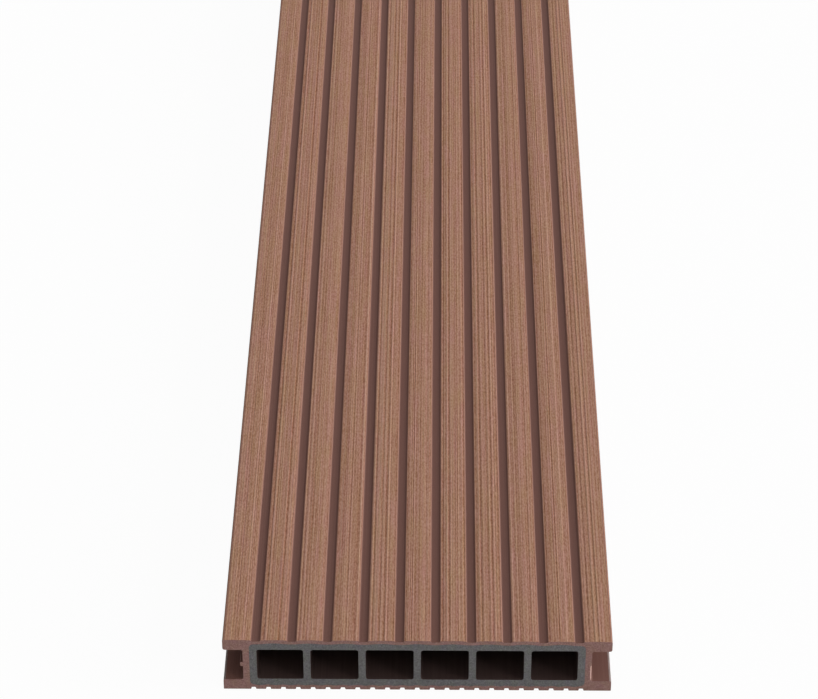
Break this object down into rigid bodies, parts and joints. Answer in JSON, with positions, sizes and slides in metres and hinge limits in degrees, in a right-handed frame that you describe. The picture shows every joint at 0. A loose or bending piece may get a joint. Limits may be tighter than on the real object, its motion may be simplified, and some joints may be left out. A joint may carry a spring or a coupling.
{
  "type": "composite deck board",
  "caption": "Hollow composite deck board with a ribbed brown cap layer, a chambered grey core, clip channels along both sides and a finely grooved underside.",
  "frame": {"origin": "under the middle of the board, at the level of its lower face", "axes": "+Y along the board's length, +X across its width, +Z out of the ribbed walking face"},
  "size_m": [0.15, 2.4, 0.025],
  "materials": {
    "cap_layer": "brown wood-plastic composite, brushed along its length on the ribs and smooth as extruded elsewhere",
    "core": "dark grey wood-plastic composite, saw cut at the ends"
  },
  "bodies": {
    "root": {"cap_layer": "cap_layer", "core": "core"}
  },
  "joints": []
}
